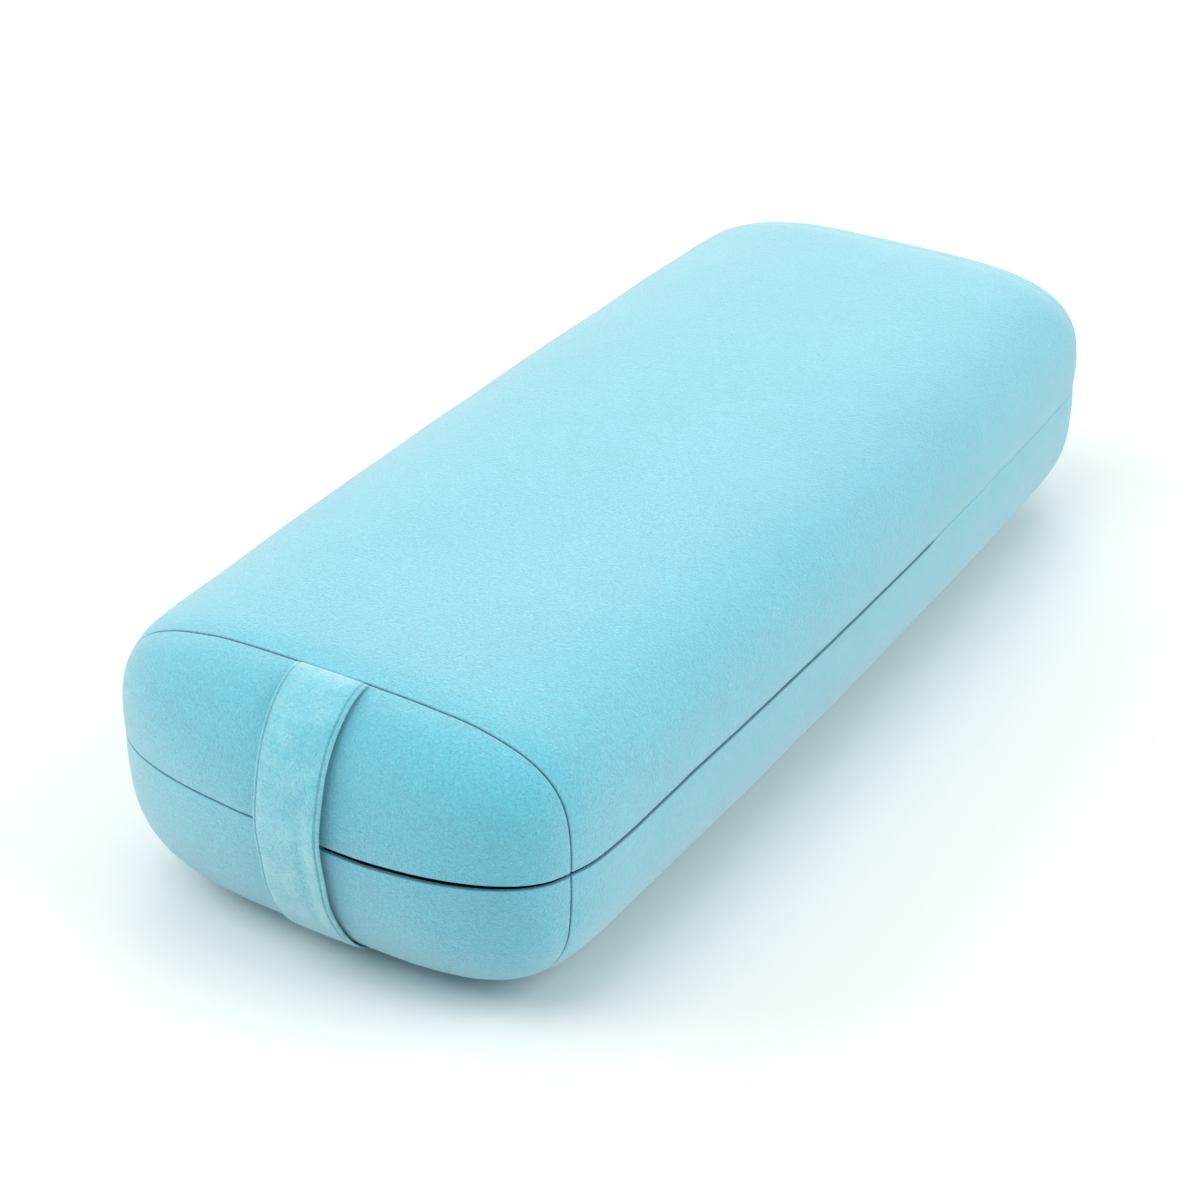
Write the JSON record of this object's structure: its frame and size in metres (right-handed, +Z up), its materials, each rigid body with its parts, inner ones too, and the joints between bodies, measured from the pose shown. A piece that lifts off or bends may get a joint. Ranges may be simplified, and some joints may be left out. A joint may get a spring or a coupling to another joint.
{
  "type": "bolster pillow",
  "caption": "Rectangular yoga and massage bolster with softly rounded edges, a zipped suede cover and a fabric carrying strap across one end.",
  "frame": {"origin": "centre of the bounding box on the floor under the cushion", "axes": "+X across the width towards the side with the zip, +Y along the length away from the carrying strap, +Z up"},
  "size_m": [0.27, 0.6564, 0.148],
  "materials": {
    "cover": "brushed microfibre suede, matt",
    "strap": "the same suede, folded and edge stitched",
    "webbing": "woven polypropylene webbing",
    "zip_tape": "woven polyester tape",
    "zip_coil": "nylon coil",
    "zip_metal": "lacquered zinc, satin",
    "label": "blank satin ribbon",
    "liner": "undyed plain cotton",
    "wadding": "polyester fibre wadding",
    "foam": "open cell polyurethane foam"
  },
  "bodies": {
    "cushion": {"cover_top_panel": "cover", "cover_bottom_panel": "cover", "front_end_panel_upper": "cover", "front_end_panel_lower": "cover", "rear_end_panel_upper": "cover", "rear_end_panel_lower": "cover", "zip_lip_upper": "cover", "zip_lip_lower": "cover", "zip_tape_upper": "zip_tape", "zip_tape_lower": "zip_tape", "zip_coil_upper": "zip_coil", "zip_coil_lower": "zip_coil", "zip_top_stop_upper": "zip_metal", "zip_top_stop_lower": "zip_metal", "zip_bottom_stop": "zip_metal", "care_label": "label", "liner_upper": "liner", "liner_lower": "liner", "wadding_upper": "wadding", "wadding_lower": "wadding", "foam_core": "foam"},
    "zip_slider": {"zip_slider": "zip_metal"},
    "zip_pull": {"zip_pull_tab": "zip_metal"},
    "handle": {"handle_strap": "strap", "handle_webbing": "webbing"}
  },
  "joints": [
    {"name": "zip_slide", "type": "slide", "parent": "cushion", "child": "zip_slider", "axis": [0, -1, 0], "range_m": [0, 0.215], "deforming": ["zip_lip_upper", "zip_lip_lower"]},
    {"name": "zip_pull_hinge", "type": "hinge", "parent": "zip_slider", "child": "zip_pull", "pos_m": [0.12945, 0.0512, 0.082], "axis": [0, 0, 1], "range_deg": [0, 175]},
    {"name": "handle_pull", "type": "slide", "parent": "cushion", "child": "handle", "axis": [0, -1, 0], "range_m": [0, 0.02]}
  ]
}
